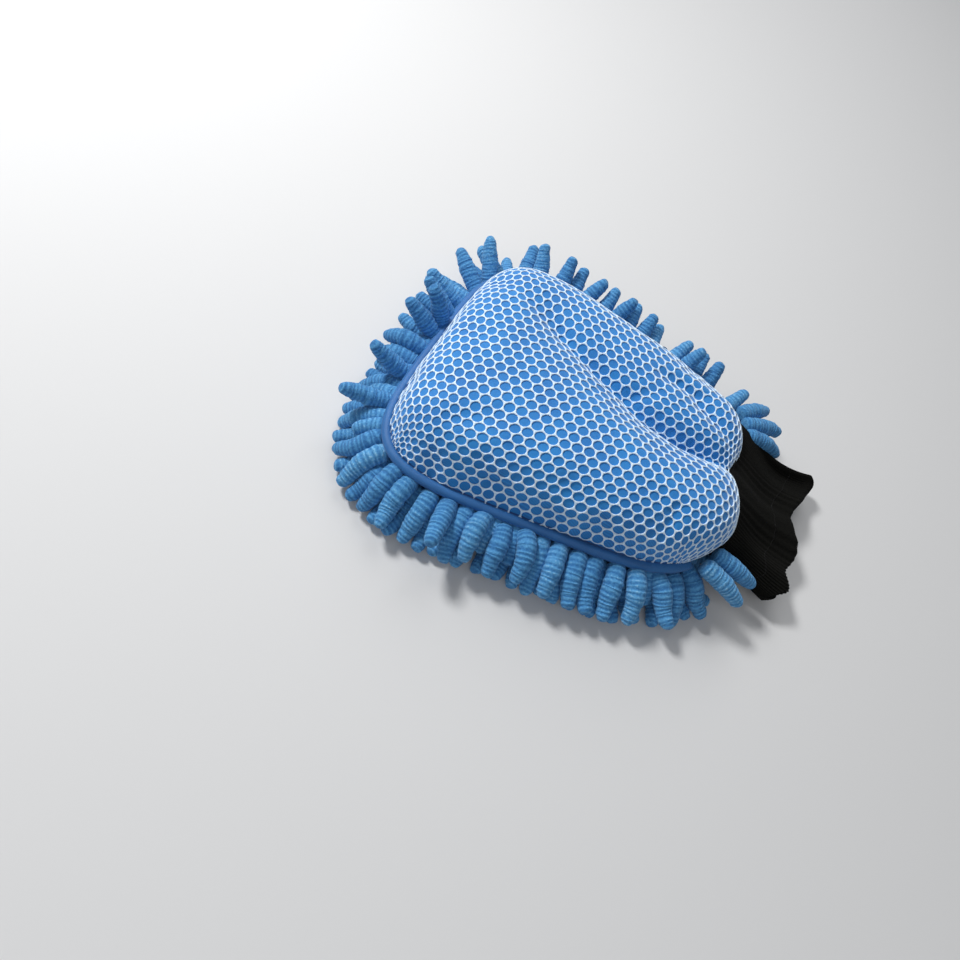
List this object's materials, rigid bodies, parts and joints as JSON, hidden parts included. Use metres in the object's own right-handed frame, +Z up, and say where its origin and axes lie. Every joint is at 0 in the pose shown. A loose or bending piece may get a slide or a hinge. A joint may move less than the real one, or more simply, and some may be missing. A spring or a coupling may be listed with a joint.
{
  "type": "wash mitt",
  "caption": "Car wash mitt with chenille noodles on one face, a padded scrubbing net on the other and a ribbed knit cuff, lying on its chenille face.",
  "frame": {"origin": "under the middle of the whole mitt, on the surface that it lies on", "axes": "+Y from the cuff to the fingertips, +X across the mitt, +Z up from the chenille face to the net face"},
  "size_m": [0.2076, 0.2526, 0.0543],
  "materials": {
    "net": "white polyester net, knitted in small hexagons",
    "scrub_cloth": "saturated blue woven microfibre",
    "foam": "open-cell polyurethane foam",
    "lining": "smooth polyester lining",
    "backing": "blue knitted polyester backing cloth",
    "binding": "dark blue satin binding, rolled",
    "blue_thread": "dark blue polyester sewing thread",
    "chenille": "mid blue microfibre chenille with ridged pile",
    "rib_knit": "black ribbed elastic knit",
    "black_thread": "black polyester sewing thread"
  },
  "bodies": {
    "root": {"scrub_net": "net", "scrub_cloth": "scrub_cloth", "foam_pad": "foam", "lining_top": "lining", "lining_bottom": "lining", "chenille_backing": "backing", "edge_binding": "binding", "edge_stitch": "blue_thread", "cuff_knit": "rib_knit", "cuff_hem_fold": "rib_knit", "cuff_side_seam": "black_thread", "cuff_hem_stitch": "black_thread", "cuff_join_stitch": "black_thread", "chenille_row_01": "chenille", "chenille_row_02": "chenille", "chenille_row_03": "chenille", "chenille_row_04": "chenille", "chenille_row_05": "chenille", "chenille_row_06": "chenille", "chenille_row_07": "chenille", "chenille_row_08": "chenille", "chenille_row_09": "chenille", "chenille_row_10": "chenille", "chenille_row_11": "chenille", "chenille_row_12": "chenille", "chenille_row_13": "chenille", "chenille_edge_left": "chenille", "chenille_edge_right": "chenille", "chenille_edge_tips": "chenille"}
  },
  "joints": []
}
